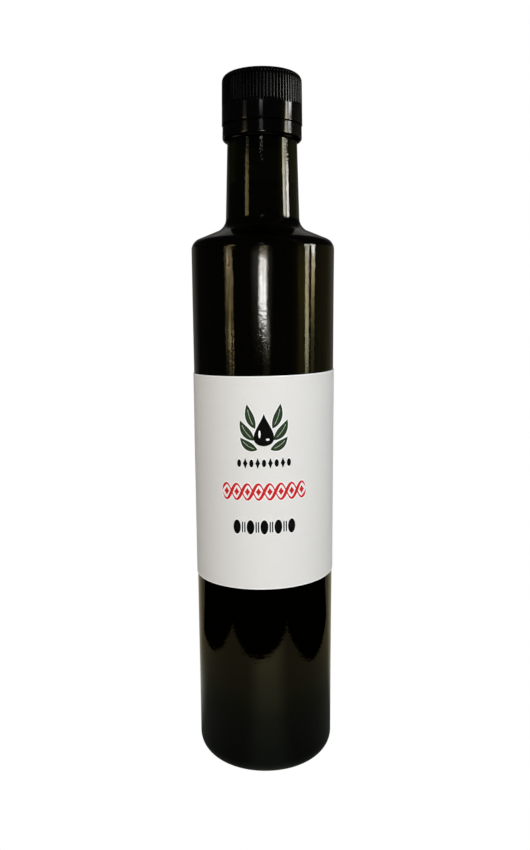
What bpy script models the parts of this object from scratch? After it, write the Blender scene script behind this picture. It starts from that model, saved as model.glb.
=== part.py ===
"""A tall round bottle of olive oil: dark glass, filled to the neck and shut with a ribbed screw cap.

The bottle stands on z = 0 with its axis on the Z axis. Its front, where the label is centred, faces -Y.
Lengths are in metres, and outlines are lists of (radius, height) points.
"""

import math

import bpy
from mathutils import Vector

MM = 0.001

# Glass bottle
BODY_RADIUS = 30.0 * MM
HEEL_ROUNDING = 8.0 * MM
SHOULDER_HEIGHT = 227.7 * MM
SHOULDER_ROUNDING = 4.8 * MM
NECK_FOOT_RADIUS = 15.5 * MM
NECK_FOOT_HEIGHT = 233.6 * MM
NECK_FOOT_ROUNDING = 6.0 * MM
NECK_TOP_RADIUS = 14.25 * MM
NECK_TOP_HEIGHT = 272.0 * MM
MOUTH_HEIGHT = 291.9 * MM
WALL = 3.0 * MM
BASE_THICKNESS = 4.6 * MM
INSIDE_HEEL_ROUNDING = 5.0 * MM
FOOT_RING_RADIUS = 19.0 * MM
PUSH_UP_RADIUS = 13.0 * MM
PUSH_UP_HEIGHT = 2.4 * MM
PUSH_UP_ROUNDING = 6.0 * MM

# Oil
OIL_LEVEL = 251.0 * MM
OIL_GAP = 0.3 * MM

# Screw cap
CAP_TOP_HEIGHT = 294.0 * MM
CAP_TOP_RADIUS = 16.3 * MM
CAP_TOP_ROUNDING = 2.9 * MM
CAP_SKIRT_RADIUS = 16.6 * MM
CAP_BOTTOM_HEIGHT = 274.3 * MM
CAP_INSIDE_RADIUS = 14.75 * MM
CAP_INSIDE_HEIGHT = 292.2 * MM
RIB_COUNT = 76
RIB_BOTTOM_HEIGHT = 281.5 * MM
RIB_TOP_HEIGHT = 292.6 * MM
RIB_RUN_OUT = 0.4 * MM
GROOVE_DEPTH = 0.4 * MM

# Tamper band, the loose ring below the cap
BAND_TOP_HEIGHT = 273.9 * MM
BAND_BOTTOM_HEIGHT = 268.0 * MM
BAND_RADIUS = 16.45 * MM
BAND_ROUNDING = 1.5 * MM

# Label, a paper sheet wrapped nearly all the way round and put on a little askew
LABEL_BOTTOM_HEIGHT = 85.6 * MM
LABEL_TOP_HEIGHT = 173.9 * MM
LABEL_GAP = 0.2 * MM
LABEL_THICKNESS = 0.25 * MM
LABEL_SIDES = 42
LABEL_SKEW = math.radians(0.9)

# How finely round shapes are divided
TURNED_SIDES = 48
ARC_STEP = math.radians(20.0)
MERGE_DISTANCE = 0.00001


def clear_scene():
    for obj in list(bpy.data.objects):
        bpy.data.objects.remove(obj, do_unlink=True)


def new_collection(name):
    collection = bpy.data.collections.new(name)
    bpy.context.scene.collection.children.link(collection)
    return collection


def finish(name, colour, roughness, transmission=0.0):
    """A Principled material with one colour all over."""
    material = bpy.data.materials.new(name)
    material.use_nodes = True
    shader = material.node_tree.nodes["Principled BSDF"]
    shader.inputs["Base Color"].default_value = (*colour, 1.0)
    shader.inputs["Roughness"].default_value = roughness
    shader.inputs["Metallic"].default_value = 0.0
    shader.inputs["Transmission Weight"].default_value = transmission
    material.diffuse_color = (*colour, 1.0)
    return material


def rounded(corners, roundings):
    """The outline through the corners, with an arc of the given radius in place of each inner corner."""
    points = [Vector(corners[0])]
    for before, corner, after, radius in zip(corners, corners[1:], corners[2:], roundings):
        corner = Vector(corner)
        back = (Vector(before) - corner).normalized()
        ahead = (Vector(after) - corner).normalized()
        half_angle = back.angle(ahead) / 2.0
        if radius == 0.0:
            points.append(corner)
            continue
        reach = radius / math.tan(half_angle)
        centre = corner + (back + ahead).normalized() * radius / math.sin(half_angle)
        start = corner + back * reach - centre
        end = corner + ahead * reach - centre
        sweep = math.pi - 2.0 * half_angle
        steps = max(1, round(sweep / ARC_STEP))
        for step in range(steps + 1):
            turn = sweep * step / steps
            spoke = (start * math.sin(sweep - turn) + end * math.sin(turn)) / math.sin(sweep)
            points.append(centre + spoke)
    points.append(Vector(corners[-1]))
    return points


def inset(corners, distance):
    """The corners moved to the right of their travel, so that each line moves by the distance."""
    lines = [(Vector(b) - Vector(a)).normalized() for a, b in zip(corners, corners[1:])]
    sides = [Vector((line.y, -line.x)) for line in lines]
    moved = [Vector(corners[0]) + sides[0] * distance]
    for corner, side, next_side in zip(corners[1:], sides, sides[1:]):
        bisector = side + next_side
        moved.append(Vector(corner) + bisector * distance / (1.0 + side.dot(next_side)))
    moved.append(Vector(corners[-1]) + sides[-1] * distance)
    return moved


def outline_object(name, outline, closed, collection):
    """A wire of the outline in the XZ plane."""
    mesh = bpy.data.meshes.new(name)
    edges = [(i, i + 1) for i in range(len(outline) - 1)]
    if closed:
        edges.append((len(outline) - 1, 0))
    mesh.from_pydata([(radius, 0.0, height) for radius, height in outline], edges, [])
    obj = bpy.data.objects.new(name, mesh)
    collection.objects.link(obj)
    return obj


def turned(name, outline, collection, sides=TURNED_SIDES, closed=False):
    """The outline, which runs down its outer side, turned once round the Z axis."""
    obj = outline_object(name, outline, closed, collection)
    screw = obj.modifiers.new("Turn", "SCREW")
    screw.axis = "Z"
    screw.angle = math.tau
    screw.steps = sides
    screw.render_steps = sides
    screw.use_merge_vertices = True
    screw.merge_threshold = MERGE_DISTANCE
    screw.use_smooth_shade = True
    return obj


def applied(obj):
    """The object with its modifiers made part of its mesh."""
    graph = bpy.context.evaluated_depsgraph_get()
    old = obj.data
    mesh = bpy.data.meshes.new_from_object(obj.evaluated_get(graph))
    obj.modifiers.clear()
    obj.data = mesh
    mesh.name = obj.name
    bpy.data.meshes.remove(old)
    return obj


def shade(obj, material):
    """The material, and smooth shading with the real edges left sharp."""
    obj.data.materials.clear()
    obj.data.materials.append(material)
    if obj.data.polygons:
        obj.data.shade_smooth()
        obj.data.set_sharp_from_angle(angle=math.radians(35.0))


def outside_corners():
    """The outside of the glass from the neck down to the heel's corner."""
    return [
        (NECK_TOP_RADIUS, NECK_TOP_HEIGHT),
        (NECK_FOOT_RADIUS, NECK_FOOT_HEIGHT),
        (BODY_RADIUS, SHOULDER_HEIGHT),
        (BODY_RADIUS, 0.0),
    ]


def inside_outline(gap, top_height):
    """The inside of the glass, moved in by the gap, from the top height to the middle of the floor."""
    depth = WALL + gap
    neck_top, neck_foot, shoulder, _ = inset(outside_corners(), depth)
    share = (top_height - neck_foot.y) / (neck_top.y - neck_foot.y)
    floor = BASE_THICKNESS + gap
    corners = [
        neck_foot.lerp(neck_top, share),
        neck_foot,
        shoulder,
        (BODY_RADIUS - depth, floor),
        (0.0, floor + PUSH_UP_HEIGHT),
    ]
    roundings = [NECK_FOOT_ROUNDING + depth, SHOULDER_ROUNDING - depth, INSIDE_HEEL_ROUNDING - gap]
    return rounded(corners, roundings)


def make_bottle(collection, material):
    """The hollow glass: up the inside, over the mouth, down the outside and under the base."""
    inside = list(reversed(inside_outline(0.0, MOUTH_HEIGHT)))
    outside = [Vector((NECK_TOP_RADIUS, MOUTH_HEIGHT))]
    corners = outside_corners() + [
        (FOOT_RING_RADIUS, 0.0),
        (PUSH_UP_RADIUS, PUSH_UP_HEIGHT),
        (0.0, PUSH_UP_HEIGHT),
    ]
    outside += rounded(
        corners, [NECK_FOOT_ROUNDING, SHOULDER_ROUNDING, HEEL_ROUNDING, 0.0, PUSH_UP_ROUNDING]
    )
    bottle = turned("bottle", inside + outside, collection)
    shade(bottle, material)


def make_oil(collection, material):
    """The oil, which fills the bottle up to a level part of the way up the neck."""
    outline = inside_outline(OIL_GAP, OIL_LEVEL)
    outline.insert(0, Vector((0.0, OIL_LEVEL)))
    oil = turned("oil", outline, collection)
    shade(oil, material)


def press_grooves(mesh):
    """Moves every second column of points between the ends of the ribs in by the groove's depth."""
    for vertex in mesh.vertices:
        point = vertex.co
        column = round(math.atan2(point.y, point.x) * RIB_COUNT / math.pi)
        if column % 2 and RIB_BOTTOM_HEIGHT + RIB_RUN_OUT / 2.0 < point.z < RIB_TOP_HEIGHT:
            radius = math.hypot(point.x, point.y)
            point.x *= 1.0 - GROOVE_DEPTH / radius
            point.y *= 1.0 - GROOVE_DEPTH / radius


def skirt_point(height):
    """The point at this height on the cap's side, which widens evenly from its top down to its skirt."""
    share = (CAP_TOP_HEIGHT - height) / (CAP_TOP_HEIGHT - CAP_BOTTOM_HEIGHT)
    return Vector((CAP_TOP_RADIUS + share * (CAP_SKIRT_RADIUS - CAP_TOP_RADIUS), height))


def make_cap(collection, cutters, material):
    """The screw cap: a ribbed cup, hollowed from below."""
    rib_foot = skirt_point(RIB_BOTTOM_HEIGHT + RIB_RUN_OUT)
    outline = rounded(
        [(0.0, CAP_TOP_HEIGHT), (CAP_TOP_RADIUS, CAP_TOP_HEIGHT), rib_foot], [CAP_TOP_ROUNDING]
    )
    outline += [skirt_point(RIB_BOTTOM_HEIGHT), skirt_point(CAP_BOTTOM_HEIGHT)]
    outline.append(Vector((0.0, CAP_BOTTOM_HEIGHT)))
    cap = applied(turned("cap", outline, collection, sides=2 * RIB_COUNT))
    press_grooves(cap.data)
    shade(cap, material)

    below = BAND_TOP_HEIGHT
    hollow_outline = [
        (0.0, CAP_INSIDE_HEIGHT),
        (CAP_INSIDE_RADIUS, CAP_INSIDE_HEIGHT),
        (CAP_INSIDE_RADIUS, below),
        (0.0, below),
    ]
    cutter = turned("cap_hollow", hollow_outline, cutters)
    cutter.hide_render = True
    cutter.display_type = "WIRE"
    hollow = cap.modifiers.new("Hollow", "BOOLEAN")
    hollow.operation = "DIFFERENCE"
    hollow.object = cutter


def make_band(collection, material):
    """The tamper band, with its lower edge rounded in towards the neck."""
    outline = rounded(
        [
            (CAP_INSIDE_RADIUS, BAND_TOP_HEIGHT),
            (BAND_RADIUS, BAND_TOP_HEIGHT),
            (BAND_RADIUS, BAND_BOTTOM_HEIGHT),
            (CAP_INSIDE_RADIUS, BAND_BOTTOM_HEIGHT),
        ],
        [0.0, BAND_ROUNDING],
    )
    band = turned("tamper_band", outline, collection, closed=True)
    shade(band, material)


def make_label(collection, material):
    """The label: an upright line swept round the body, rising evenly as it goes, and given its thickness."""
    sweep = LABEL_SIDES * math.tau / TURNED_SIDES
    radius = BODY_RADIUS + LABEL_GAP
    rise = math.tan(LABEL_SKEW) * radius * sweep
    start = [(radius, LABEL_TOP_HEIGHT - rise / 2.0), (radius, LABEL_BOTTOM_HEIGHT - rise / 2.0)]
    label = outline_object("label", start, False, collection)
    label.rotation_euler.z = -math.pi / 2.0 - sweep / 2.0
    screw = label.modifiers.new("Wrap", "SCREW")
    screw.axis = "Z"
    screw.angle = sweep
    screw.screw_offset = rise
    screw.steps = LABEL_SIDES
    screw.render_steps = LABEL_SIDES
    screw.use_smooth_shade = True
    sheet = label.modifiers.new("Paper", "SOLIDIFY")
    sheet.thickness = LABEL_THICKNESS
    sheet.offset = 1.0
    shade(label, material)


def main():
    clear_scene()
    bottle_parts = new_collection("olive_oil_bottle")
    cutters = new_collection("cutters")
    glass = finish("dark_glass", (0.03, 0.035, 0.012), 0.03, transmission=1.0)
    oil = finish("olive_oil", (0.35, 0.30, 0.02), 0.05, transmission=1.0)
    plastic = finish("black_plastic", (0.006, 0.006, 0.006), 0.3)
    paper = finish("label_paper", (0.75, 0.73, 0.70), 0.6)
    make_bottle(bottle_parts, glass)
    make_oil(bottle_parts, oil)
    make_cap(bottle_parts, cutters, plastic)
    make_band(bottle_parts, plastic)
    make_label(bottle_parts, paper)


main()
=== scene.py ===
"""Dresses the packed olive oil bottle: its glass, oil, cap, tamper ring, label and print, in a small studio.

Lengths are in metres. The bottle's axis is the Z axis, and the middle of its label faces -Y.
An outline is an array of (radius, height) points. On the label, s runs to the right along the paper
and t up it, both from its middle.
"""

import math

import bpy
import numpy as np
from bpy.props import FloatProperty, FloatVectorProperty, IntProperty, PointerProperty
from bpy.types import Operator, Panel, PropertyGroup
from mathutils import Matrix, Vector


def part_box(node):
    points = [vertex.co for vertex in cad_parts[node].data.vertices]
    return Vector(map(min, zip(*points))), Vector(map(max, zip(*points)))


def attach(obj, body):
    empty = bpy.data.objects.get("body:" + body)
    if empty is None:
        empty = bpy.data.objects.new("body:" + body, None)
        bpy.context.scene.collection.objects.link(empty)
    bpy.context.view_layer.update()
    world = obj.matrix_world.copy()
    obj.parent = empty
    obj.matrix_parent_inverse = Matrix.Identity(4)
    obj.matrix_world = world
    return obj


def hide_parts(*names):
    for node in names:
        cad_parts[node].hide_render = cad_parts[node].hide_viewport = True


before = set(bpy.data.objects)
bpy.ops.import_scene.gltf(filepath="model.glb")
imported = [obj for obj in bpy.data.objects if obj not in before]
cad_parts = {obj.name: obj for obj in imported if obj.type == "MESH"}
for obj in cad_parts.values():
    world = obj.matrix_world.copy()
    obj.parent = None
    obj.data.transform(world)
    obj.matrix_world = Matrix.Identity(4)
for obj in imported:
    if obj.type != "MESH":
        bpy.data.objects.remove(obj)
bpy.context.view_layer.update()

bl_info = {
    "name": "Olive Oil Bottle Looks",
    "version": (1, 0, 0),
    "blender": (4, 5, 0),
    "location": "3D View > Sidebar > Oil Bottle",
    "description": "Builds the glass, oil, cap, label and print of a dark olive oil bottle",
    "category": "Object",
}

ARC_STEP = math.radians(5.0)
RUN_STEP = 0.004
GLASS_SIDES = 288
RING_SIDES = 720
SIDES_FOR_EACH_RIB = 10
SHARP_ANGLE = math.radians(40.0)
GLASS_IOR, OIL_IOR, PLASTIC_IOR = 1.52, 1.47, 1.49

# What the glass and the oil let through: the tint of the absorption and its density.
GLASS_ABSORPTION = ((0.42, 0.46, 0.10), 600.0)
OIL_ABSORPTION = ((0.75, 0.62, 0.05), 25.0)

# Roughness of the black plastic, and depth of its grain.
CAP_SURFACE = (0.06, 0.000004)
RING_SURFACE = (0.08, 0.000010)

# The slow waves of the blown glass: strength, number in a turn, change with height, and phase.
GLASS_WAVES = ((1.0, 2.0, 45.0, 0.0), (0.7, 5.0, -80.0, 1.0), (0.4, 9.0, 130.0, 2.0))

# The waves of the paper: change along s and t, and phase.
PAPER_WAVES = ((260.0, 90.0, 0.0), (-110.0, 150.0, 1.3))

# Heights between which the waves and the seams of the glass set in, and where the label covers a seam.
WAVES_START = (0.002, 0.012)
SEAM_START = (0.006, 0.010)
SEAM_BREAK_MIDDLE, SEAM_BREAK_HALF, SEAM_FADE = 0.13, 0.046, 0.004

# Where a groove and the painted shade on its floor set in, from the ribs' lower ends, and how they run out
# at the top.
GROOVE_FOOT = (-0.00015, 0.00035)
PAINTED_SHADE_FOOT = (-0.0001, 0.0003)
GROOVE_RUN_OUT = 0.0008

# The cosines between which a rib's sides lose gloss to painted shade, how much gloss the painted shade
# takes away between the ribs, and how much smudges take away.
PAINTED_SHADE_SIDES = (-0.80, -0.10)
GLOSS_TAKEN_BY_PAINTED_SHADE, GLOSS_SMUDGED = 0.88, 0.10
DUST_TINT = (0.012, 0.012, 0.011)
BARE_PAPER = 0.7

FOOT_RING_ROUNDING = 0.0005
DISH_ROUNDING = 0.0006
CAP_STEP, RING_STEP = 0.0005, 0.0006

# The bridges: place and foot as shares of their pitch and width, reach as a share of the slit.
BRIDGE_START, BRIDGE_FOOT, BRIDGE_REACH = 0.35, 1.6, 0.96
RING_EDGE = 0.0003

BODY_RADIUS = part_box("bottle")[1][0]
MOUTH_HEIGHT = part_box("bottle")[1][2]
OIL_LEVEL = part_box("oil")[1][2]
CAP_BOTTOM, CAP_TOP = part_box("cap")[0][2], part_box("cap")[1][2]
CAP_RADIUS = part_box("cap")[1][0]
RING_BOTTOM, RING_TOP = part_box("tamper_band")[0][2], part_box("tamper_band")[1][2]
RING_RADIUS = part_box("tamper_band")[1][0]
LABEL_BOTTOM, LABEL_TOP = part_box("label")[0][2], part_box("label")[1][2]


def length(name, default, description):
    """A property for a length in metres."""
    return FloatProperty(
        name=name, description=description, default=default, min=0.0, precision=5, unit="LENGTH"
    )


def colour(name, default, description):
    """A property for a colour."""
    return FloatVectorProperty(
        name=name, description=description, default=default, size=3, min=0.0, max=1.0, subtype="COLOR"
    )


def angle(name, degrees, description):
    """A property for an angle, given in degrees."""
    return FloatProperty(
        name=name, description=description, default=math.radians(degrees), subtype="ANGLE"
    )


def number(name, default, description, low=0.0):
    """A property for a number without a unit."""
    return FloatProperty(name=name, description=description, default=default, min=low)


def whole_number(name, default, description, low, high):
    """A property for a whole number."""
    return IntProperty(name=name, description=description, default=default, min=low, max=high)


class GlassSizes(PropertyGroup):
    """Sizes of the glass."""

    body_radius: length("Body radius", BODY_RADIUS, "Radius of the straight side")
    mouth_height: length("Mouth height", MOUTH_HEIGHT, "Height of the mouth above the table")
    shoulder_height: length("Shoulder height", 0.2277, "Height where the side would meet the shoulder")
    shoulder_rounding: length("Shoulder rounding", 0.0048, "Radius of the edge of the shoulder")
    neck_foot_radius: length("Neck foot radius", 0.0155, "Radius where the neck would meet the shoulder")
    neck_foot_height: length("Neck foot height", 0.2336, "Height where the neck would meet the shoulder")
    neck_foot_rounding: length("Neck foot rounding", 0.006, "Radius of the hollow at the neck's foot")
    neck_top_radius: length("Neck top radius", 0.01425, "Radius of the neck below the ring")
    neck_top_height: length("Neck top height", 0.272, "Height where the neck's taper ends")
    lip_rounding: length("Lip rounding", 0.0009, "Radius of the edges of the mouth")
    wall: length("Wall", 0.003, "Thickness of the glass")
    base_thickness: length("Base thickness", 0.0046, "Thickness of the glass under the oil")
    heel_rounding: length("Heel rounding", 0.008, "Radius of the bottle's lowest edge")
    inside_heel_rounding: length("Inside heel rounding", 0.005, "Radius of the lowest edge inside")
    foot_ring_radius: length("Foot ring radius", 0.019, "Radius where the hollow of the base starts")
    push_up_radius: length("Push-up radius", 0.013, "Radius of the top of the hollow in the base")
    push_up_height: length("Push-up height", 0.0024, "Height of the hollow in the base")
    push_up_rounding: length("Push-up rounding", 0.006, "Radius of the edge of the hollow's top")
    unevenness: length("Unevenness", 0.00002, "How far the blown surface waves in and out")
    seam_height: length("Seam height", 0.00004, "How far the two mould seams stand proud")
    seam_width: length("Seam width", 0.0005, "Half the width of a mould seam")


class OilSizes(PropertyGroup):
    """Sizes of the oil."""

    level: length("Level", OIL_LEVEL, "Height of the oil in the neck")
    reach: length("Reach into the wall", 0.00008, "How far the oil reaches into the glass")
    meniscus: length("Meniscus", 0.0007, "How far the oil climbs the glass")


class CapSizes(PropertyGroup):
    """Sizes of the screw cap and the tamper ring."""

    top_height: length("Cap top", CAP_TOP, "Height of the cap's top")
    bottom_height: length("Cap bottom", CAP_BOTTOM, "Height of the cap's lower edge")
    skirt_radius: length("Skirt radius", CAP_RADIUS, "Radius of the cap's lower edge")
    top_radius: length("Top radius", 0.0163, "Radius of the side's top")
    top_rounding: length("Top rounding", 0.0029, "Radius of the cap's upper edge")
    dish_radius: length("Dish radius", 0.0118, "Radius of the shallow dish in the cap's top")
    dish_depth: length("Dish depth", 0.00025, "Depth of the dish")
    bore_radius: length("Bore radius", 0.01475, "Radius of the inside of the cap and the ring")
    bore_top: length("Bore top", 0.2922, "Height of the ceiling inside the cap")
    edge_rounding: length("Edge rounding", 0.00012, "Radius of the edges beside the slit")
    rib_count: whole_number("Ribs", 76, "Ribs round the cap", 8, 160)
    rib_bottom: length("Rib bottom", 0.2815, "Height of the ribs' lower ends")
    rib_top: length("Rib top", 0.2927, "Height where the ribs run out on the upper edge")
    groove_depth: length("Groove depth", 0.00042, "Depth of the grooves between the ribs")
    ring_top: length("Ring top", RING_TOP, "Height of the tamper ring's upper edge")
    ring_bottom: length("Ring bottom", RING_BOTTOM, "Height of the tamper ring's lower edge")
    ring_radius: length("Ring radius", RING_RADIUS, "Radius of the tamper ring's lower part")
    ring_taper: length("Ring taper", 0.00015, "How much smaller the ring's radius is at its top")
    ring_rounding: length("Ring rounding", 0.0015, "Radius of the ring's lower edge")
    bridge_count: whole_number("Bridges", 8, "Bridges that hold the ring to the cap", 2, 32)
    bridge_width: length("Bridge width", 0.0004, "Half the width of a bridge")


class LabelSizes(PropertyGroup):
    """Sizes of the paper label."""

    skew: angle("Skew", 0.9, "How far askew the label is put on")
    sweep: angle("Sweep", 315.0, "How far round the bottle the label goes")
    gap: length("Gap", 0.00006, "Distance from the glass to the back of the paper")
    thickness: length("Thickness", 0.00022, "Thickness of the paper with its glue")
    cockle: length("Cockle", 0.000012, "How far the paper waves")
    margin: length("White margin", 0.00042, "Width of the white line along the upper and lower edges")


class PrintSizes(PropertyGroup):
    """Sizes and places of the generic print on the label."""

    motif_height: length("Motif height", 0.0205, "Height of the drop with its leaves")
    motif_middle: length("Motif middle", 0.0236, "Height of the motif's middle above the label's middle")
    beads_above: length("Small beads", 0.0090, "Height of the row of small beads above the middle")
    bead_pitch: length("Small bead pitch", 0.00255, "Distance between small beads")
    braid_length: length("Braid length", 0.0365, "Length of the red braid")
    braid_below: length("Braid", 0.0028, "Depth of the braid's middle below the label's middle")
    braid_swing: length("Braid swing", 0.0032, "How far the braid's strands swing up and down")
    reel_below: length("Bead and reel", 0.0176, "Depth of the bead-and-reel row below the middle")
    reel_pitch: length("Reel pitch", 0.0057, "Distance between the large beads")
    halo: length("Halo", 0.00045, "Width of the white rim round the print")
    layer: length("Layer", 0.00001, "Thickness of one layer of ink")


class Finishes(PropertyGroup):
    """Colours of the finishes."""

    glass: colour("Glass", (0.16, 0.165, 0.07), "White light after one wall, before absorption")
    oil: colour("Oil", (0.80, 0.66, 0.10), "Tint of the oil")
    plastic: colour("Plastic", (0.0007, 0.0007, 0.0007), "Cap and tamper ring")
    paper: colour("Paper", (0.80, 0.777, 0.742), "Label paper")
    margin: colour("Paper edge", (0.99, 0.985, 0.97), "Unprinted edge of the paper")
    black_ink: colour("Black ink", (0.0016, 0.0016, 0.0014), "Black print")
    green_ink: colour("Green ink", (0.024, 0.050, 0.015), "Green print")
    red_ink: colour("Red ink", (0.60, 0.010, 0.014), "Red print")
    white_ink: colour("White ink", (0.90, 0.895, 0.88), "White print")


class StudioSettings(PropertyGroup):
    """Camera, floor and light."""

    camera_place: FloatVectorProperty(
        name="Camera place",
        description="Where the camera stands",
        default=(0.00044, -0.3491, 0.2012),
        precision=5,
        subtype="TRANSLATION",
        unit="LENGTH",
    )
    camera_pitch: angle("Pitch", 9.60, "How far the camera looks down")
    camera_roll: angle("Roll", -0.342, "How far the camera is turned about its line of sight")
    focal_length: number("Focal length", 34.12, "In millimetres, on a 36 mm long side", 1.0)
    shift: number("Shift", 0.0207, "Upward shift, in long sides of the picture", -1.0)
    floor_size: length("Floor size", 3.0, "Length of the floor's sides")
    board_light: number("Board light", 1.0, "Brightness of the pale board in reflections")
    room_light: number("Room light", 0.014, "Brightness of the dark room in reflections")
    fill_light: number("Fill light", 0.27, "Even part of the light on matt surfaces")
    front_light: number("Front light", 2.58, "Part of it that comes from the front")
    back_light: number("Back light", 0.78, "Part of it that comes from behind")


def unit_vector(vector):
    """The vector over its length."""
    return vector / np.linalg.norm(vector)


def divided(points, step):
    """The same line with each straight run cut into equal pieces no longer than the step."""
    runs = np.linalg.norm(np.diff(points, axis=0), axis=1)
    pieces = np.maximum(1, np.ceil(runs / step)).astype(int)
    places = [run + np.arange(count) / count for run, count in enumerate(pieces)]
    places = np.append(np.concatenate(places), len(runs))
    whole = np.arange(len(points))
    return np.column_stack([np.interp(places, whole, column) for column in points.T])


def rounded(corners, roundings, step=RUN_STEP):
    """The line through the corners, with an arc in place of each inner corner.

    An arc of radius q touches both sides at q / tan(half angle) from the corner, and its centre lies
    q / sin(half angle) along the bisector. Its points are the centre plus a blend of the spokes to its
    two ends, weighted by the sines of the turns left and made.
    """
    corners = [np.array(corner, float) for corner in corners]
    parts = [corners[0][None]]
    for before, corner, after, radius in zip(corners, corners[1:], corners[2:], roundings):
        back, ahead = unit_vector(before - corner), unit_vector(after - corner)
        half_angle = math.acos(back @ ahead) / 2.0
        if radius == 0.0:
            parts.append(corner[None])
            continue
        reach = radius / math.tan(half_angle)
        centre = corner + unit_vector(back + ahead) * radius / math.sin(half_angle)
        start = corner + back * reach - centre
        end = corner + ahead * reach - centre
        sweep = math.pi - 2.0 * half_angle
        turn = np.linspace(0.0, sweep, max(2, round(sweep / ARC_STEP)) + 1)[:, None]
        parts.append(centre + (start * np.sin(sweep - turn) + end * np.sin(turn)) / math.sin(sweep))
    parts.append(corners[-1][None])
    return divided(np.concatenate(parts), step)


def inset(corners, distance):
    """The corners moved to the right of the line's travel, so that each side moves by the distance.

    A corner moves along the sum of its two sides' normals, over one plus their dot product.
    """
    corners = np.array(corners, float)
    lines = np.diff(corners, axis=0)
    lines /= np.linalg.norm(lines, axis=1)[:, None]
    normals = np.column_stack([lines[:, 1], -lines[:, 0]])
    first, last = normals[:-1], normals[1:]
    inner = (first + last) / (1.0 + (first * last).sum(axis=1))[:, None]
    return corners + distance * np.concatenate([normals[:1], inner, normals[-1:]])


def new_object(name, points, faces):
    """A smooth-shaded object from points and faces, with its real edges left sharp."""
    mesh = bpy.data.meshes.new(name)
    mesh.from_pydata(points.tolist(), [], faces)
    mesh.shade_smooth()
    mesh.set_sharp_from_angle(angle=SHARP_ANGLE)
    piece = bpy.data.objects.new(name, mesh)
    bpy.context.scene.collection.objects.link(piece)
    return piece


def grid_quads(index):
    """The quads of a grid of point numbers, each down its row, across and back up."""
    quads = [index[:-1, :-1], index[1:, :-1], index[1:, 1:], index[:-1, 1:]]
    return np.stack(quads, axis=-1).reshape(-1, 4)


def tube_faces(rows, columns, ends):
    """Faces of a tube of rings, closed by one more point at each end, or joined end to end.

    The end points are numbered straight after the rings' points.
    """
    index = np.arange(rows * columns).reshape(rows, columns)
    index = np.column_stack([index, index[:, 0]])
    if not ends:
        return grid_quads(np.vstack([index, index[:1]])).tolist()
    first, last = index[0], index[-1]
    start, end = rows * columns, rows * columns + 1
    cap = np.stack([np.full(columns, start), first[:-1], first[1:]], axis=-1)
    floor = np.stack([np.full(columns, end), last[1:], last[:-1]], axis=-1)
    return grid_quads(index).tolist() + cap.tolist() + floor.tolist()


def turned(name, outline, sides, relief=None, closed=False):
    """The outline turned once round the Z axis.

    For the turn u and the place v on the outline the point is (r sin u, -r cos u, z), with r and z at v.
    relief(u, r, z) gives the radius and height to use instead. An outline that isn't closed starts and
    ends on the axis.
    """
    turn = np.arange(sides) * math.tau / sides
    rings = outline if closed else outline[1:-1]
    radius = np.repeat(rings[:, :1], sides, axis=1)
    height = np.repeat(rings[:, 1:], sides, axis=1)
    if relief:
        radius, height = relief(turn, radius, height)
    points = np.stack([radius * np.sin(turn), -radius * np.cos(turn), height], axis=-1).reshape(-1, 3)
    if not closed:
        axis_points = [(0.0, 0.0, outline[0, 1]), (0.0, 0.0, outline[-1, 1])]
        points = np.concatenate([points, axis_points])
    return new_object(name, points, tube_faces(len(rings), sides, not closed))


def smooth_step(low, high, values):
    """0 below low and 1 above high, with 3 x squared minus 2 x cubed between."""
    share = np.clip((values - low) / (high - low), 0.0, 1.0)
    return share * share * (3.0 - 2.0 * share)


def add_node(tree, kind, inputs=None, **settings):
    """A node with these settings, whose inputs are joined to sockets or given values."""
    node = tree.nodes.new(kind)
    for key, value in settings.items():
        setattr(node, key, value)
    for key, value in (inputs or {}).items():
        if isinstance(value, bpy.types.NodeSocket):
            tree.links.new(value, node.inputs[key])
        else:
            node.inputs[key].default_value = value
    return node


def maths(tree, operation, *values):
    """The result of a Math node."""
    return add_node(tree, "ShaderNodeMath", dict(enumerate(values)), operation=operation).outputs[0]


def mixed(tree, mask, first, second):
    """The first colour where the mask is 0 and the second where it is 1."""
    inputs = {0: mask, 6: first, 7: second}
    return add_node(tree, "ShaderNodeMix", inputs, data_type="RGBA").outputs[2]


def turn_of(tree, parts):
    """The turn from -Y towards +X, from the parts of a place or direction."""
    return maths(tree, "ARCTAN2", parts["X"], maths(tree, "MULTIPLY", parts["Y"], -1.0))


def ramp(tree, value, low, high, to_low=0.0, to_high=1.0):
    """The value carried smoothly from one range to another."""
    inputs = {"Value": value, "From Min": low, "From Max": high, "To Min": to_low, "To Max": to_high}
    return add_node(tree, "ShaderNodeMapRange", inputs, interpolation_type="SMOOTHSTEP").outputs[0]


def noise(tree, vector, scale, detail=4.0, roughness=0.55):
    """A noise texture's value."""
    inputs = {"Vector": vector, "Scale": scale, "Detail": detail, "Roughness": roughness}
    return add_node(tree, "ShaderNodeTexNoise", inputs).outputs[0]


def rgba(values):
    """The colour with full alpha."""
    return (*values, 1.0)


def shaded(colour_values, factor):
    """The colour times the factor, no brighter than 1, with full alpha."""
    return rgba(min(1.0, factor * value) for value in colour_values)


def join(tree, source, target):
    """Links the source socket to the target."""
    tree.links.new(source, target)


def set_values(sockets, **values):
    """Sets the sockets' own values, named with an underscore for each space."""
    for key, value in values.items():
        sockets[key.replace("_", " ")].default_value = value


def vector_maths(tree, operation, *values):
    """The outputs of a Vector Math node."""
    inputs = dict(enumerate(values))
    return add_node(tree, "ShaderNodeVectorMath", inputs, operation=operation).outputs


def scaled(tree, colour_socket, factor):
    """The colour times the factor."""
    inputs = {0: colour_socket, "Scale": factor}
    return add_node(tree, "ShaderNodeVectorMath", inputs, operation="SCALE").outputs[0]


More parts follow.
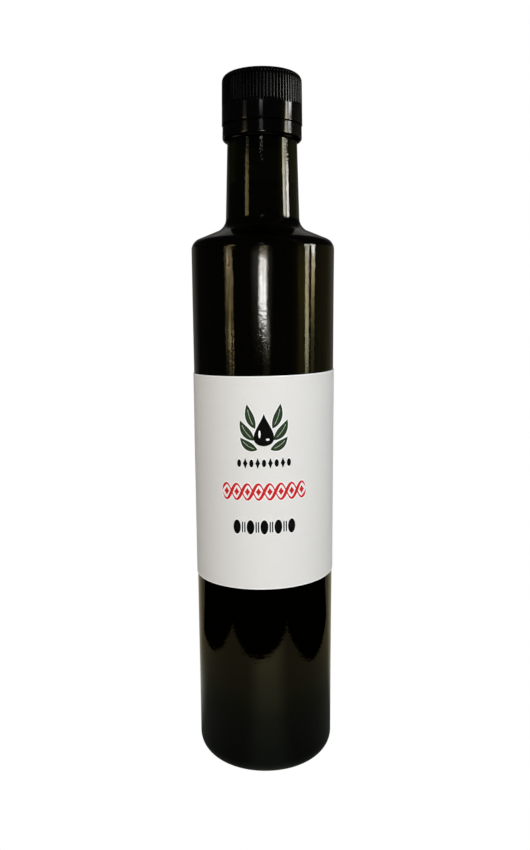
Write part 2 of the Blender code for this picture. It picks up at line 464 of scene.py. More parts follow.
def new_group(name, inputs, outputs):
    """An empty shader node group, and the sockets of its input and output nodes.

    An input that has a number is a float socket, and any other is a vector. The outputs are floats.
    """
    group = bpy.data.node_groups.new(name, "ShaderNodeTree")
    for label, value in inputs.items():
        kind = "NodeSocketFloat" if isinstance(value, float) else "NodeSocketVector"
        socket = group.interface.new_socket(label, in_out="INPUT", socket_type=kind)
        if value is not None:
            socket.default_value = value
    for label in outputs:
        group.interface.new_socket(label, in_out="OUTPUT", socket_type="NodeSocketFloat")
    return group, group.nodes.new("NodeGroupInput").outputs, group.nodes.new("NodeGroupOutput").inputs


def handling_marks():
    """Group: the faint greasy patches and the fine dust of a bottle that has been handled."""
    name = "handling_marks"
    if name in bpy.data.node_groups:
        return bpy.data.node_groups[name]
    inputs = {"Vector": None, "Patch Scale": 40.0, "Dust Scale": 900.0, "Dust Share": 0.05}
    group, given, result = new_group(name, inputs, ["Smudges", "Dust"])
    patches = noise(group, given["Vector"], given["Patch Scale"], detail=5.0, roughness=0.6)
    join(group, ramp(group, patches, 0.42, 0.72), result["Smudges"])
    inputs = {"Vector": given["Vector"], "Scale": given["Dust Scale"], "Randomness": 1.0}
    cells = add_node(group, "ShaderNodeTexVoronoi", inputs)
    chosen = add_node(group, "ShaderNodeSeparateColor", {"Color": cells.outputs["Color"]}).outputs[0]
    picked = maths(group, "LESS_THAN", chosen, given["Dust Share"])
    grain = ramp(group, cells.outputs["Distance"], 0.10, 0.32, 1.0, 0.0)
    join(group, maths(group, "MULTIPLY", picked, grain), result["Dust"])
    return group


def fine_grain():
    """Group: the fine two-scale grain of moulded plastic, paper and ink."""
    name = "fine_grain"
    if name in bpy.data.node_groups:
        return bpy.data.node_groups[name]
    inputs = {"Vector": None, "Scale": 2000.0, "Stretch": (1.0, 1.0, 1.0)}
    group, given, result = new_group(name, inputs, ["Grain", "Cloud"])
    inputs = {"Vector": given["Vector"], "Scale": given["Stretch"]}
    stretched = add_node(group, "ShaderNodeMapping", inputs).outputs[0]
    grain = noise(group, stretched, given["Scale"], detail=3.0, roughness=0.65)
    join(group, grain, result["Grain"])
    broad = maths(group, "MULTIPLY", given["Scale"], 0.06)
    join(group, noise(group, given["Vector"], broad), result["Cloud"])
    return group


def placed(tree, group, **inputs):
    """A node group's outputs, with its inputs given by name, an underscore for each space."""
    node = add_node(tree, "ShaderNodeGroup", node_tree=group)
    for key, value in inputs.items():
        socket = node.inputs[key.replace("_", " ")]
        if isinstance(value, bpy.types.NodeSocket):
            join(tree, value, socket)
        else:
            socket.default_value = value
    return node.outputs


def new_material(name):
    """A material with its Principled shader, and the Object coordinates."""
    material = bpy.data.materials.new(name)
    material.use_nodes = True
    tree = material.node_tree
    place = add_node(tree, "ShaderNodeTexCoord").outputs["Object"]
    return material, tree, tree.nodes["Principled BSDF"].inputs, place


def bump(tree, height, distance, strength=1.0):
    """The normal of a surface raised by the height, times the distance."""
    inputs = {"Height": height, "Distance": distance, "Strength": strength}
    return add_node(tree, "ShaderNodeBump", inputs).outputs[0]


def absorbing(tree, tint, density):
    """Gives the material a volume that takes up light on the way through."""
    volume = add_node(tree, "ShaderNodeVolumeAbsorption", {"Color": rgba(tint), "Density": density})
    join(tree, volume.outputs[0], tree.nodes["Material Output"].inputs["Volume"])


def marked_roughness(tree, marks, clean, smudged, dusty):
    """The clean surface's roughness, and what the smudges and the dust add to it."""
    patchy = maths(tree, "MULTIPLY_ADD", marks["Smudges"], smudged, clean)
    return maths(tree, "MULTIPLY_ADD", marks["Dust"], dusty, patchy)


def dark_glass_material(tint):
    """Near-black olive glass: polished, with faint greasy patches, dust and a slow ripple."""
    material, tree, shader, place = new_material("dark_olive_glass")
    sizes = {"Patch_Scale": 55.0, "Dust_Scale": 1100.0, "Dust_Share": 0.02}
    marks = placed(tree, handling_marks(), Vector=place, **sizes)
    drift = ramp(tree, noise(tree, place, 18.0, detail=2.0), 0.35, 0.65)
    join(tree, mixed(tree, drift, rgba(tint), shaded(tint, 1.25)), shader["Base Color"])
    roughness = marked_roughness(tree, marks, clean=0.012, smudged=0.018, dusty=0.15)
    join(tree, roughness, shader["Roughness"])
    slow_wave = noise(tree, place, 70.0, detail=2.0, roughness=0.4)
    orange_peel = noise(tree, place, 950.0, detail=2.0, roughness=0.5)
    relief = maths(tree, "MULTIPLY_ADD", orange_peel, 0.30, slow_wave)
    join(tree, bump(tree, relief, distance=0.00006), shader["Normal"])
    set_values(shader, Transmission_Weight=1.0, IOR=GLASS_IOR)
    absorbing(tree, *GLASS_ABSORPTION)
    return material


def oil_material(tint):
    """Golden green oil, clear, with the faintest haze."""
    material, tree, shader, place = new_material("golden_green_oil")
    haze = ramp(tree, noise(tree, place, 25.0, detail=3.0), 0.3, 0.7)
    join(tree, mixed(tree, haze, rgba(tint), shaded(tint, 0.85)), shader["Base Color"])
    join(tree, maths(tree, "MULTIPLY", haze, 0.03), shader["Roughness"])
    set_values(shader, Transmission_Weight=1.0, IOR=OIL_IOR)
    absorbing(tree, *OIL_ABSORPTION)
    return material


def painted_shade_between_ribs(tree, place, count, low, high):
    """Painted shade: 1 between the ribs from height low to high, and 0 on the ribs and on the plain parts.

    The cosine of count times the turn is 1 in the middle of a groove and -1 on top of a rib.
    """
    parts = add_node(tree, "ShaderNodeSeparateXYZ", {0: place}).outputs
    cosine = maths(tree, "COSINE", maths(tree, "MULTIPLY", turn_of(tree, parts), count))
    deep = ramp(tree, cosine, *PAINTED_SHADE_SIDES)
    above_foot = ramp(tree, parts["Z"], low + PAINTED_SHADE_FOOT[0], low + PAINTED_SHADE_FOOT[1])
    below_top = ramp(tree, parts["Z"], high - GROOVE_RUN_OUT, high, 1.0, 0.0)
    return maths(tree, "MULTIPLY", deep, maths(tree, "MULTIPLY", above_foot, below_top))


def plastic_material(name, tint, roughness, grain_depth, ribs=None):
    """Moulded black plastic: a soft gloss broken up by fine grain, scuffs and dust.

    Ribbed plastic has its gloss as a coat, which is taken away between the ribs as painted shade.
    """
    material, tree, shader, place = new_material(name)
    grain = placed(tree, fine_grain(), Vector=place, Scale=2600.0)
    sizes = {"Patch_Scale": 160.0, "Dust_Scale": 1500.0, "Dust_Share": 0.012}
    marks = placed(tree, handling_marks(), Vector=place, **sizes)
    dusty = mixed(tree, marks["Dust"], rgba(tint), rgba(DUST_TINT))
    scuffs = maths(tree, "MULTIPLY", marks["Smudges"], grain["Cloud"])
    join(tree, mixed(tree, scuffs, dusty, shaded(tint, 1.8)), shader["Base Color"])
    worn = marked_roughness(tree, marks, clean=roughness, smudged=0.03, dusty=0.10)
    join(tree, worn, shader["Roughness"])
    join(tree, bump(tree, grain["Grain"], grain_depth), shader["Normal"])
    set_values(shader, IOR=PLASTIC_IOR)
    if ribs:
        # Painted shade: the coat's gloss is taken away in the grooves between the ribs, where shade falls.
        gloss = maths(tree, "MULTIPLY_ADD", painted_shade_between_ribs(tree, place, *ribs), -GLOSS_TAKEN_BY_PAINTED_SHADE, 1.0)
        dulled = maths(tree, "MULTIPLY_ADD", marks["Smudges"], -GLOSS_SMUDGED, 1.0)
        join(tree, maths(tree, "MULTIPLY", gloss, dulled), shader["Coat Weight"])
        set_values(shader, Coat_Roughness=roughness, Coat_IOR=PLASTIC_IOR, Specular_IOR_Level=0.05)
    return material


def paper_material(tint, edge_tint, margin):
    """Matt warm white paper: cloudy, with short fibres, and a white line where it was cut."""
    material, tree, shader, place = new_material("label_paper_stock")
    along = add_node(tree, "ShaderNodeUVMap", uv_map="label").outputs[0]
    fibres = placed(tree, fine_grain(), Vector=along, Scale=2400.0, Stretch=(1.0, 0.35, 1.0))
    tone = ramp(tree, fibres["Cloud"], 0.30, 0.70)
    base = mixed(tree, tone, shaded(tint, 0.985), rgba(tint))
    flecked = ramp(tree, fibres["Grain"], 0.25, 0.60)
    base = mixed(tree, maths(tree, "MULTIPLY_ADD", flecked, 0.6, 0.4), shaded(tint, 0.93), base)
    inside = add_node(tree, "ShaderNodeAttribute", attribute_name="edge_distance").outputs["Fac"]
    edge = ramp(tree, inside, 0.7 * margin, 1.2 * margin, 1.0, 0.0)
    join(tree, mixed(tree, edge, base, rgba(edge_tint)), shader["Base Color"])
    join(tree, maths(tree, "MULTIPLY_ADD", fibres["Cloud"], 0.20, 0.55), shader["Roughness"])
    join(tree, bump(tree, fibres["Grain"], distance=0.00003, strength=0.6), shader["Normal"])
    set_values(shader, Specular_IOR_Level=0.30)
    return material


def ink_material(name, tint, spread=0.02):
    """Printing ink on paper: slightly mottled where the fibres took less of it.

    The spread is how much of the bare paper shows there.
    """
    material, tree, shader, place = new_material(name)
    mottle = placed(tree, fine_grain(), Vector=place, Scale=2800.0)
    thin = tuple(value + spread * (BARE_PAPER - value) for value in tint)
    bare = ramp(tree, mottle["Grain"], 0.52, 0.80)
    drift = maths(tree, "MULTIPLY", bare, ramp(tree, mottle["Cloud"], 0.3, 0.7, 0.35, 1.0))
    join(tree, mixed(tree, drift, rgba(tint), rgba(thin)), shader["Base Color"])
    join(tree, maths(tree, "MULTIPLY_ADD", mottle["Cloud"], 0.25, 0.50), shader["Roughness"])
    join(tree, bump(tree, mottle["Grain"], distance=0.00002, strength=0.5), shader["Normal"])
    set_values(shader, Specular_IOR_Level=0.15)
    return material


def finish(piece, material, slot, *replaced):
    """Gives the piece its material and body, and hides the CAD parts that it stands for. The slot is not
    used.
    """
    piece.data.materials.append(material)
    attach(piece, "root")
    if replaced:
        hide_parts(*replaced)


def outside_corners(sizes):
    """The outside of the glass from the top of the neck down to the corner of the heel."""
    return [
        (sizes.neck_top_radius, sizes.neck_top_height),
        (sizes.neck_foot_radius, sizes.neck_foot_height),
        (sizes.body_radius, sizes.shoulder_height),
        (sizes.body_radius, 0.0),
    ]


def inside_outline(sizes, gap, top_height, top_corners):
    """The inside of the glass, moved in by the gap, from the top corners to the middle of its floor."""
    depth = sizes.wall + gap
    neck_top, neck_foot, shoulder, _ = inset(outside_corners(sizes), depth)
    share = (top_height - neck_foot[1]) / (neck_top[1] - neck_foot[1])
    floor = sizes.base_thickness + gap
    top = neck_foot + (neck_top - neck_foot) * share
    corners = [*top_corners, top, neck_foot, shoulder]
    corners += [(sizes.body_radius - depth, floor), (0.0, floor + sizes.push_up_height)]
    roundings = [sizes.lip_rounding] if top_corners else []
    roundings += [sizes.neck_foot_rounding + depth, sizes.shoulder_rounding - depth]
    roundings += [sizes.inside_heel_rounding - gap]
    return rounded(corners, roundings)


class OILBOTTLE_OT_glass(Operator):
    """Turn the hollow glass, with two mould seams and a blown surface's slow waves"""

    bl_idname = "oilbottle.glass"
    bl_label = "Glass"

    def execute(self, context):
        sizes = context.scene.oilbottle_glass
        lip = sizes.neck_top_radius
        middle_of_lip = (lip - sizes.wall / 2.0, sizes.mouth_height)
        inside = inside_outline(sizes, 0.0, sizes.mouth_height, [middle_of_lip])[::-1]
        corners = [middle_of_lip, (lip, sizes.mouth_height), *outside_corners(sizes)]
        corners += [
            (sizes.foot_ring_radius, 0.0),
            (sizes.push_up_radius, sizes.push_up_height),
            (0.0, sizes.push_up_height),
        ]
        roundings = [sizes.lip_rounding, 0.0, sizes.neck_foot_rounding, sizes.shoulder_rounding]
        roundings += [sizes.heel_rounding, FOOT_RING_ROUNDING, sizes.push_up_rounding]
        outside = rounded(corners, roundings)[1:]
        outline = np.concatenate([inside, outside])
        is_outside = (np.arange(1, len(outline) - 1) >= len(inside))[:, None]

        def blown(turn, radius, height):
            """Adds three slow waves of turn and height, and outside a bell-shaped seam at each side."""
            waves = sum(
                strength * np.sin(turns * turn + rise * height + phase)
                for strength, turns, rise, phase in GLASS_WAVES
            )
            standing = smooth_step(*WAVES_START, height)
            swell = sizes.unevenness * waves * standing * np.minimum(1.0, radius / sizes.body_radius)
            to_seam = np.abs(np.abs((turn + math.pi) % math.tau - math.pi) - math.pi / 2.0)
            seam = sizes.seam_height * np.exp(-((to_seam * radius / sizes.seam_width) ** 2))
            from_label = np.abs(height - SEAM_BREAK_MIDDLE) - SEAM_BREAK_HALF
            clear_of_label = 1.0 - smooth_step(SEAM_FADE, 0.0, from_label)
            side = smooth_step(*SEAM_START, height) * is_outside * clear_of_label
            return radius + swell + seam * side, height

        glass = turned("glass_bottle", outline, GLASS_SIDES, blown)
        material = dark_glass_material(context.scene.oilbottle_finishes.glass)
        finish(glass, material, "dark_glass", "bottle")
        return {"FINISHED"}


class OILBOTTLE_OT_oil(Operator):
    """Fill the glass up to its level, with the surface drawn up a little where it meets the glass"""

    bl_idname = "oilbottle.oil"
    bl_label = "Oil"

    def execute(self, context):
        glass = context.scene.oilbottle_glass
        sizes = context.scene.oilbottle_oil
        side = inside_outline(glass, -sizes.reach, sizes.level, [])
        edge = side[0, 0]
        radius = np.linspace(0.0, edge, 25)[:-1]
        climb = sizes.meniscus * np.exp((radius - edge) / (0.6 * sizes.meniscus))
        surface = np.column_stack([radius, sizes.level - sizes.meniscus + climb])
        outline = np.concatenate([surface, side])
        oil = turned("olive_oil", outline, GLASS_SIDES)
        finish(oil, oil_material(context.scene.oilbottle_finishes.oil), "olive_oil", "oil")
        return {"FINISHED"}


class OILBOTTLE_OT_cap(Operator):
    """Turn the screw cap and press the grooves between its ribs"""

    bl_idname = "oilbottle.cap"
    bl_label = "Screw cap"

    def execute(self, context):
        sizes = context.scene.oilbottle_cap
        dish = sizes.top_height - sizes.dish_depth
        outside = [
            (0.0, dish),
            (sizes.dish_radius, dish),
            (sizes.dish_radius + 2.0 * sizes.dish_depth, sizes.top_height),
            (sizes.top_radius, sizes.top_height),
            (sizes.skirt_radius, sizes.bottom_height),
            ((sizes.skirt_radius + sizes.bore_radius) / 2.0, sizes.bottom_height),
        ]
        roundings = [DISH_ROUNDING, DISH_ROUNDING, sizes.top_rounding, sizes.edge_rounding]
        outside = rounded(outside, roundings, CAP_STEP)
        inside = [
            (sizes.bore_radius, sizes.bottom_height),
            (sizes.bore_radius, sizes.bore_top),
            (0.0, sizes.bore_top),
        ]
        outline = np.concatenate([outside, divided(np.array(inside), RUN_STEP)])
        is_outside = (np.arange(1, len(outline) - 1) < len(outside))[:, None]

        def ribbed(turn, radius, height):
            """Presses grooves in: their depth times the square of half of 1 + cos(ribs times turn)."""
            groove = (0.5 + 0.5 * np.cos(sizes.rib_count * turn)) ** 2
            foot = smooth_step(*(sizes.rib_bottom + rise for rise in GROOVE_FOOT), height)
            top = 1.0 - smooth_step(sizes.rib_top - GROOVE_RUN_OUT, sizes.rib_top, height)
            return radius - sizes.groove_depth * groove * foot * top * is_outside, height

        cap = turned("screw_cap", outline, SIDES_FOR_EACH_RIB * sizes.rib_count, ribbed)
        # The ribs' count and heights also place the painted shade in the grooves.
        ribs = (sizes.rib_count, sizes.rib_bottom, sizes.rib_top)
        black = context.scene.oilbottle_finishes.plastic
        material = plastic_material("cap_black", black, *CAP_SURFACE, ribs)
        finish(cap, material, "cap_plastic", "cap")
        return {"FINISHED"}


class OILBOTTLE_OT_ring(Operator):
    """Turn the tamper ring below the cap, with the small bridges that hold it to the cap"""

    bl_idname = "oilbottle.ring"
    bl_label = "Tamper ring"

    def execute(self, context):
        sizes = context.scene.oilbottle_cap
        corners = [
            (sizes.bore_radius, sizes.ring_top),
            (sizes.ring_radius - sizes.ring_taper, sizes.ring_top),
            (sizes.ring_radius, sizes.ring_bottom),
            (sizes.bore_radius, sizes.ring_bottom),
        ]
        outline = rounded(corners, [sizes.edge_rounding, sizes.ring_rounding], RING_STEP)
        slit = sizes.bottom_height - sizes.ring_top

        def bridged(turn, radius, height):
            """Raises the upper edge across the slit wherever a bridge stands, with steep sides."""
            pitch = math.tau / sizes.bridge_count
            from_bridge = np.abs((turn + BRIDGE_START * pitch) % pitch - pitch / 2.0) * radius
            bridge = 1.0 - smooth_step(sizes.bridge_width, BRIDGE_FOOT * sizes.bridge_width, from_bridge)
            top = smooth_step(sizes.ring_top - RING_EDGE, sizes.ring_top, height)
            return radius, height + BRIDGE_REACH * slit * bridge * top

        ring = turned("tamper_ring", outline, RING_SIDES, bridged, closed=True)
        black = context.scene.oilbottle_finishes.plastic
        material = plastic_material("ring_black", black, *RING_SURFACE)
        finish(ring, material, "cap_plastic", "tamper_band")
        return {"FINISHED"}


def label_middle(sizes, glass):
    """The middle height of the label and half its height, with the rise from its skew taken off."""
    rise = math.tan(sizes.skew) * glass.body_radius * sizes.sweep
    return (LABEL_BOTTOM + LABEL_TOP) / 2.0, (LABEL_TOP - LABEL_BOTTOM - rise) / 2.0


def on_label(scene, s, t, above):
    """Points above the paper's back at s and t.

    The paper is rolled round the bottle, so s over its radius is the turn, and the skew lifts it by
    s times its tangent. The cockle adds two slow crossing waves.
    """
    sizes, glass = scene.oilbottle_label, scene.oilbottle_glass
    middle, _ = label_middle(sizes, glass)
    back = glass.body_radius + sizes.gap
    waves = sum(np.sin(along * s + up * t + phase) for along, up, phase in PAPER_WAVES)
    radius = back + above + sizes.cockle * (2.0 + waves)
    turn = s / back
    height = middle + t + s * math.tan(sizes.skew)
    return np.stack([radius * np.sin(turn), -radius * np.cos(turn), height], axis=-1)


class OILBOTTLE_OT_label(Operator):
    """Wrap the paper label nearly all the way round, a little askew"""

    bl_idname = "oilbottle.label"
    bl_label = "Paper label"

    def execute(self, context):
        scene = context.scene
        sizes, glass = scene.oilbottle_label, scene.oilbottle_glass
        half_height = label_middle(sizes, glass)[1]
        half_length = (glass.body_radius + sizes.gap) * sizes.sweep / 2.0
        columns = np.linspace(-half_length, half_length, 211)
        s, t = np.meshgrid(columns, np.linspace(half_height, -half_height, 61))
        outer = on_label(scene, s, t, sizes.thickness)
        inner = on_label(scene, s, t, 0.0)
        points = np.concatenate([outer.reshape(-1, 3), inner.reshape(-1, 3)])
        index = np.arange(s.size).reshape(s.shape)
        rim = np.concatenate([index[0, :-1], index[:-1, -1], index[-1, :0:-1], index[:0:-1, 0]])
        onward = np.roll(rim, -1)
        edge = np.stack([rim, onward, onward + s.size, rim + s.size], axis=-1)
        back = grid_quads(index + s.size)[:, ::-1]
        faces = grid_quads(index).tolist() + back.tolist() + edge.tolist()
        label = new_object("paper_label", points, faces)
        flat = np.column_stack([s.ravel(), t.ravel()])
        corners = np.empty(len(label.data.loops), np.int32)
        label.data.loops.foreach_get("vertex_index", corners)
        layer = label.data.uv_layers.new(name="label")
        layer.data.foreach_set("uv", np.tile(flat, (2, 1))[corners].ravel())
        inside = np.tile(half_height - np.abs(t.ravel()), 2)
        label.data.attributes.new("edge_distance", "FLOAT", "POINT").data.foreach_set("value", inside)
        tints = scene.oilbottle_finishes
        finish(label, paper_material(tints.paper, tints.margin, sizes.margin), "label_paper", "label")
        return {"FINISHED"}


class Ink:
    """Gathers the flat shapes of one ink, each a thin closed ribbon in its layer on the label."""

    def __init__(self, scene, layer):
        self.scene = scene
        self.layer = layer
        self.points = []
        self.faces = []

    def ribbon(self, line, half_width, across=9):
        """A ribbon along a line of (s, t) points with a half width at each.

        A ring of points goes round each place of the line: over the top from the right edge to the left
        one, and back below, just inside the paper. One point in the middle closes each end.
        """
        ahead = np.gradient(line, axis=0)
        ahead /= np.linalg.norm(ahead, axis=1)[:, None]
        left = np.column_stack([-ahead[:, 1], ahead[:, 0]])
        places = np.linspace(-1.0, 1.0, across)
        places = np.concatenate([places, places[::-1]])
        flat = line[:, None] + left[:, None] * (half_width[:, None] * places)[..., None]
        paper = self.scene.oilbottle_label.thickness
        ink = self.scene.oilbottle_print.layer
        top, bottom = paper + self.layer * ink, paper - 2.0 * ink
        above = np.where(np.arange(2 * across) < across, top, bottom)
        rings = on_label(self.scene, flat[..., 0], flat[..., 1], above)
        middle = (top + bottom) / 2.0
        ends = on_label(self.scene, line[[0, -1], 0], line[[0, -1], 1], middle)
        start = sum(map(len, self.points))
        faces = tube_faces(len(line), 2 * across, True)
        self.points.append(np.concatenate([rings.reshape(-1, 3), ends]))
        self.faces += [[start + corner for corner in face] for face in faces]

    def build(self, name, material):
        """Makes one piece of all the shapes."""
        piece = new_object(name, np.concatenate(self.points), self.faces)
        finish(piece, material, "label_paper")


# Brings the greatest width of a drop to the width given.
DROP_FULLNESS = 0.77


def drop_shape(s, t, width, height, rows=40):
    """A drop, point up: half its width is sin a times the square of sin(a / 2), up the line cos a."""
    angle = np.linspace(math.pi - 0.02, 0.02, rows)
    line = np.column_stack([np.full(rows, s), t + height / 2.0 * np.cos(angle)])
    return line, DROP_FULLNESS * width * np.sin(angle) * np.sin(angle / 2.0) ** 2


def leaf_shape(base, tip, width, bend, rows=30):
    """A leaf from base to tip: its middle bends aside by a sine, and its width follows a fuller sine."""
    place = np.linspace(0.004, 0.996, rows)
    base, tip = np.array(base), np.array(tip)
    aside = np.array([-(tip - base)[1], (tip - base)[0]])
    line = base + place[:, None] * (tip - base) + bend * np.sin(math.pi * place)[:, None] * aside
    fullness = np.sin(math.pi * place ** 0.85) ** 0.9
    return line, width / 2.0 * fullness


def oval_shape(s, t, half_length, half_height, rows=18):
    """An ellipse along s: half its height is that of a circle scaled to the two sizes."""
    angle = np.linspace(math.pi - 0.05, 0.05, rows)
    line = np.column_stack([s + half_length * np.cos(angle), np.full(rows, t)])
    return line, half_height * np.sin(angle)


def lozenge_shape(s, t, half_length, half_height, rows=13):
    """A lozenge along s with slightly hollow sides: its half height falls off to the power 1.25."""
    place = np.linspace(-0.999, 0.999, rows)
    line = np.column_stack([s + half_length * place, np.full(rows, t)])
    return line, half_height * (1.0 - np.abs(place)) ** 1.25


def strand_shape(t, half_length, swing, turns, phase, half_width, rows=120):
    """A strand along s that swings up and down as a sine, thicker on its upstrokes, with pointed ends."""
    place = np.linspace(-1.0, 1.0, rows)
    angle = math.pi * turns * place + phase
    line = np.column_stack([half_length * place, t + swing * np.sin(angle)])
    taper = np.minimum(1.0, (1.0 - np.abs(place)) * 14.0 + 0.05)
    return line, half_width * taper * (0.75 + 0.35 * np.cos(angle))


def bar_shape(s, t, half_width, half_height):
    """An upright bar."""
    line = np.column_stack([np.full(5, s), np.linspace(t - half_height, t + half_height, 5)])
    return line, np.full(5, half_width)


# Parts of the motif, as shares of its height: the drop's place, width and height, the place and half
# sizes of each gleam, and the base, tip, width and bend of each leaf to the right.
DROP = (-0.04, 0.40, 0.66)
GLEAMS = ((-0.085, -0.13, 0.022, 0.075), (0.075, -0.24, 0.035, 0.022))
LEAVES = (
    ((0.13, -0.44), (0.47, -0.20), 0.17, 0.10),
    ((0.19, -0.25), (0.47, 0.14), 0.18, 0.08),
    ((0.17, -0.02), (0.33, 0.46), 0.17, 0.06),
)

# How far the green lies inside a leaf's edge, its least half width, and that of the leaf's gleam.
LEAF_EDGE, LEAST_GREEN, GLEAM_WIDTH = 0.00024, 0.00003, 0.00006

# How many shapes each row has, and the half length and half height of each. The two bars between large
# beads stand aside from the middle of the gap.
SMALL_BEADS, BRAID_KNOTS, LARGE_BEADS = 9, 8, 5
SMALL_LOZENGE = (0.0010, 0.0023)
SMALL_BEAD = (0.00085, 0.0016)
BRAID_KNOT = (0.0012, 0.0017)
LARGE_BEAD = (0.0016, 0.0030)
BAR = (0.00028, 0.0022)
BAR_ASIDE = 0.0005

# Half width of a strand of the braid, and how many half swings it makes on each side of the middle.
STRAND_WIDTH, STRAND_TURNS = 0.00058, 4.0


def row_places(count, pitch):
    """The places along s of a row of shapes that is centred on the label's middle."""
    return (np.arange(count) - (count - 1) / 2.0) * pitch


def motif_shapes(sizes):
    """The drop, its two gleams and the leaves round it."""
    scale, middle = sizes.motif_height, sizes.motif_middle
    up, width, height = DROP
    drop = drop_shape(0.0, middle + up * scale, width * scale, height * scale)
    gleams = [
        oval_shape(s * scale, middle + t * scale, half_length * scale, half_height * scale)
        for s, t, half_length, half_height in GLEAMS
    ]
    leaves = []
    for side in (-1.0, 1.0):
        for base, tip, width, bend in LEAVES:
            base = (side * base[0] * scale, middle + base[1] * scale)
            tip = (side * tip[0] * scale, middle + tip[1] * scale)
            leaves.append((base, tip, width * scale, -side * bend))
    return drop, gleams, leaves


class OILBOTTLE_OT_print(Operator):
    """Lay the generic print on the label: a drop with leaves, small beads, a red braid, and bead and reel"""

    bl_idname = "oilbottle.print"
    bl_label = "Print"

    def execute(self, context):
        scene = context.scene
        sizes = scene.oilbottle_print
        halo, black, tinted, gleam = (Ink(scene, layer) for layer in (1, 2, 3, 4))
        red = Ink(scene, 3)

        def rimmed(ink, line, half_width, across=9):
            """Lays the shape, and under it a white rim that is wider all round."""
            halo.ribbon(line, half_width + sizes.halo, across)
            ink.ribbon(line, half_width, across)

        drop, gleams, leaves = motif_shapes(sizes)
        rimmed(black, *drop)
        for shape in gleams:
            gleam.ribbon(*shape, across=5)
        for base, tip, width, bend in leaves:
            rimmed(black, *leaf_shape(base, tip, width, bend))
            line, half_width = leaf_shape(base, tip, width, bend)
            tinted.ribbon(line[1:-1], np.maximum(half_width[1:-1] - LEAF_EDGE, LEAST_GREEN), 7)
            gleam_line = line[5:-6]
            gleam.ribbon(gleam_line, np.full(len(gleam_line), GLEAM_WIDTH), 3)

        for number, s in enumerate(row_places(SMALL_BEADS, sizes.bead_pitch)):
            if number % 2:
                rimmed(black, *lozenge_shape(s, sizes.beads_above, *SMALL_LOZENGE), across=5)
            else:
                rimmed(black, *oval_shape(s, sizes.beads_above, *SMALL_BEAD), across=5)

        half_braid = sizes.braid_length / 2.0
        braid = -sizes.braid_below
        for phase in (0.0, math.pi):
            swing = sizes.braid_swing
            shape = strand_shape(braid, half_braid, swing, STRAND_TURNS, phase, STRAND_WIDTH)
            rimmed(red, *shape, across=5)
        for s in row_places(BRAID_KNOTS, sizes.braid_length / BRAID_KNOTS):
            rimmed(red, *lozenge_shape(s, braid, *BRAID_KNOT), across=5)

        reel = -sizes.reel_below
        for number, s in enumerate(row_places(LARGE_BEADS, sizes.reel_pitch)):
            rimmed(black, *oval_shape(s, reel, *LARGE_BEAD))
            for side in (-1.0, 1.0) if number < LARGE_BEADS - 1 else ():
                s_bar = s + sizes.reel_pitch / 2.0 + side * BAR_ASIDE
                rimmed(black, *bar_shape(s_bar, reel, *BAR), across=3)

        tints = scene.oilbottle_finishes
        halo.build("print_white_rims", ink_material("white_rim_ink", tints.white_ink))
        black.build("print_black", ink_material("black_print_ink", tints.black_ink))
        tinted.build("print_green", ink_material("green_print_ink", tints.green_ink))
        red.build("print_red", ink_material("red_print_ink", tints.red_ink, 0.05))
        gleam.build("print_gleams", ink_material("gleam_ink", tints.white_ink))
        return {"FINISHED"}


def soft_panel():
    """Group: how far a direction lies inside an upright soft panel, from its azimuth in degrees."""
    name = "soft_panel"
    if name in bpy.data.node_groups:
        return bpy.data.node_groups[name]
    inputs = {"Azimuth": 0.0, "Centre": 0.0, "Half Width": 5.0, "Blur": 1.0}
    group, given, result = new_group(name, inputs, ["Mask"])
    aside = maths(group, "SUBTRACT", given["Azimuth"], given["Centre"])
    aside = maths(group, "ABSOLUTE", maths(group, "WRAP", aside, 180.0, -180.0))
    outer = maths(group, "ADD", given["Half Width"], given["Blur"])
    inner = maths(group, "SUBTRACT", given["Half Width"], given["Blur"])
    join(group, ramp(group, aside, inner, outer, 1.0, 0.0), result["Mask"])
    return group


# The range of heights in degrees, and the greatest value of a colour.
LOWEST, HIGHEST, BRIGHTEST = -10.0, 50.0, 24.0

